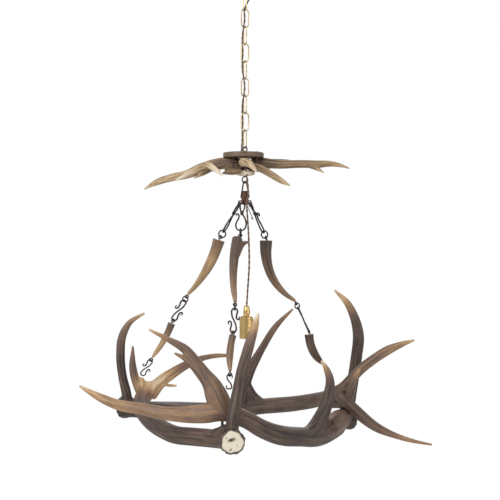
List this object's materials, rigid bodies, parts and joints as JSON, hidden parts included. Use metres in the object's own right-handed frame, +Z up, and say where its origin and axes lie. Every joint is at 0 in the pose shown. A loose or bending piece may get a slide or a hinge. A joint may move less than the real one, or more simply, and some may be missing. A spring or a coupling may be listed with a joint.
{
  "type": "antler chandelier",
  "caption": "Hanging light: a ring of branched antlers on strings of horn drops and iron hooks, below a small antler corona on a brass chain, with a brass lampholder on a cloth flex",
  "frame": {"origin": "back face of the ceiling plate, at its middle, where it meets the ceiling", "axes": "+Z up, -Y towards the viewer of the picture, +X to the viewer's right"},
  "size_m": [0.8151, 0.6116, 1.1171],
  "materials": {
    "brass": "aged, softly polished",
    "black_iron": "forged and waxed, a little rust",
    "flex_cloth": "braided cloth over two twisted cores",
    "insert_black": "moulded",
    "dark_wood": "dark stained and waxed",
    "antler_pale": "sawn antler, polished",
    "antler_tan": "natural antler, worn ridges",
    "antler_brown": "natural antler with fine ridges",
    "horn": "natural antler tine, smooth"
  },
  "bodies": {
    "ceiling": {"ceiling_plate": "brass", "ceiling_hook": "black_iron", "flex_in_chain": "flex_cloth"},
    "link_1": {"chain_link_1": "brass"},
    "link_2": {"chain_link_2": "brass"},
    "link_3": {"chain_link_3": "brass"},
    "link_4": {"chain_link_4": "brass"},
    "link_5": {"chain_link_5": "brass"},
    "link_6": {"chain_link_6": "brass"},
    "link_7": {"chain_link_7": "brass"},
    "link_8": {"chain_link_8": "brass"},
    "link_9": {"chain_link_9": "brass"},
    "corona": {"corona_antler_back": "antler_tan", "corona_antler_down_right": "antler_tan", "corona_antler_front": "antler_tan", "corona_antler_front_left": "antler_tan", "corona_antler_left": "antler_tan", "corona_antler_right": "antler_tan", "corona_boss": "antler_pale", "corona_disc": "dark_wood", "corona_eye_bolt": "black_iron", "corona_screws": "black_iron", "corona_washer": "black_iron"},
    "hoop": {"hub_hoop": "black_iron", "flex_at_hub": "flex_cloth"},
    "antler_ring": {"hub_bobbin": "black_iron", "string_rings": "black_iron", "small_rings": "black_iron", "horn_eyes": "black_iron", "foot_eyes": "black_iron", "antler_front": "antler_brown", "antler_right": "antler_brown", "antler_left": "antler_brown", "antler_pegs": "black_iron", "long_hook_left": "black_iron", "upper_horn_left": "horn", "s_hook_left": "black_iron", "lower_horn_left": "horn", "foot_hook_left": "black_iron", "long_hook_middle": "black_iron", "upper_horn_middle": "horn", "s_hook_middle": "black_iron", "lower_horn_middle": "horn", "foot_hook_middle": "black_iron", "long_hook_right": "black_iron", "upper_horn_right": "horn", "s_hook_right": "black_iron", "lower_horn_right": "horn", "foot_hook_right": "black_iron"},
    "lamp_flex": {"flex_drop": "flex_cloth"},
    "lampholder": {"cord_grip": "brass", "holder_cap": "brass", "holder_body": "brass", "holder_insert": "insert_black", "terminal_screws": "brass"},
    "sleeve": {"holder_sleeve": "brass"},
    "contact_left": {"contact_pin_left": "brass"},
    "contact_right": {"contact_pin_right": "brass"}
  },
  "joints": [
    {"name": "link_1_swing", "type": "hinge", "parent": "ceiling", "child": "link_1", "pos_m": [0, 0, -0.0475], "axis": [0.9272, 0.3746, 0], "range_deg": [-12, 12], "deforming": ["flex_in_chain"]},
    {"name": "link_2_swing", "type": "hinge", "parent": "link_1", "child": "link_2", "pos_m": [0, 0, -0.0869], "axis": [-0.3746, 0.9272, 0], "range_deg": [-12, 12]},
    {"name": "link_3_swing", "type": "hinge", "parent": "link_2", "child": "link_3", "pos_m": [0, 0, -0.1274], "axis": [0.9272, 0.3746, 0], "range_deg": [-12, 12]},
    {"name": "link_4_swing", "type": "hinge", "parent": "link_3", "child": "link_4", "pos_m": [0, 0, -0.1679], "axis": [-0.3746, 0.9272, 0], "range_deg": [-12, 12]},
    {"name": "link_5_swing", "type": "hinge", "parent": "link_4", "child": "link_5", "pos_m": [0, 0, -0.2084], "axis": [0.9272, 0.3746, 0], "range_deg": [-12, 12]},
    {"name": "link_6_swing", "type": "hinge", "parent": "link_5", "child": "link_6", "pos_m": [0, 0, -0.2489], "axis": [-0.3746, 0.9272, 0], "range_deg": [-12, 12]},
    {"name": "link_7_swing", "type": "hinge", "parent": "link_6", "child": "link_7", "pos_m": [0, 0, -0.2894], "axis": [0.9272, 0.3746, 0], "range_deg": [-12, 12]},
    {"name": "link_8_swing", "type": "hinge", "parent": "link_7", "child": "link_8", "pos_m": [0, 0, -0.3299], "axis": [-0.3746, 0.9272, 0], "range_deg": [-12, 12]},
    {"name": "link_9_swing", "type": "hinge", "parent": "link_8", "child": "link_9", "pos_m": [0, 0, -0.3704], "axis": [0.9272, 0.3746, 0], "range_deg": [-12, 12]},
    {"name": "corona_swing", "type": "hinge", "parent": "link_9", "child": "corona", "pos_m": [0, 0, -0.4109], "axis": [-0.3746, 0.9272, 0], "range_deg": [-12, 12]},
    {"name": "hoop_swing", "type": "hinge", "parent": "corona", "child": "hoop", "pos_m": [0, 0, -0.4926], "axis": [0.866, 0.5, 0], "range_deg": [-12, 12], "deforming": ["flex_at_hub"]},
    {"name": "ring_swing", "type": "hinge", "parent": "hoop", "child": "antler_ring", "pos_m": [0, 0, -0.52805], "axis": [0.7071, -0.7071, 0], "range_deg": [-12, 12]},
    {"name": "flex_swing", "type": "hinge", "parent": "antler_ring", "child": "lamp_flex", "pos_m": [0.004, -0.0145, -0.54735], "axis": [0, 1, 0], "range_deg": [-12, 12]},
    {"name": "lampholder_swing", "type": "hinge", "parent": "lamp_flex", "child": "lampholder", "pos_m": [0.004, -0.0145, -0.78005], "axis": [1, 0, 0], "range_deg": [-15, 15]},
    {"name": "sleeve_turn", "type": "hinge", "parent": "lampholder", "child": "sleeve", "pos_m": [0.004, -0.0145, -0.83175], "axis": [0, 0, 1], "continuous": true},
    {"name": "contact_left_press", "type": "slide", "parent": "lampholder", "child": "contact_left", "axis": [0, 0, 1], "range_m": [0, 0.003], "stiffness_N_per_m": 300, "springref_m": -0.001},
    {"name": "contact_right_press", "type": "slide", "parent": "lampholder", "child": "contact_right", "axis": [0, 0, 1], "range_m": [0, 0.003], "stiffness_N_per_m": 300, "springref_m": -0.001}
  ]
}
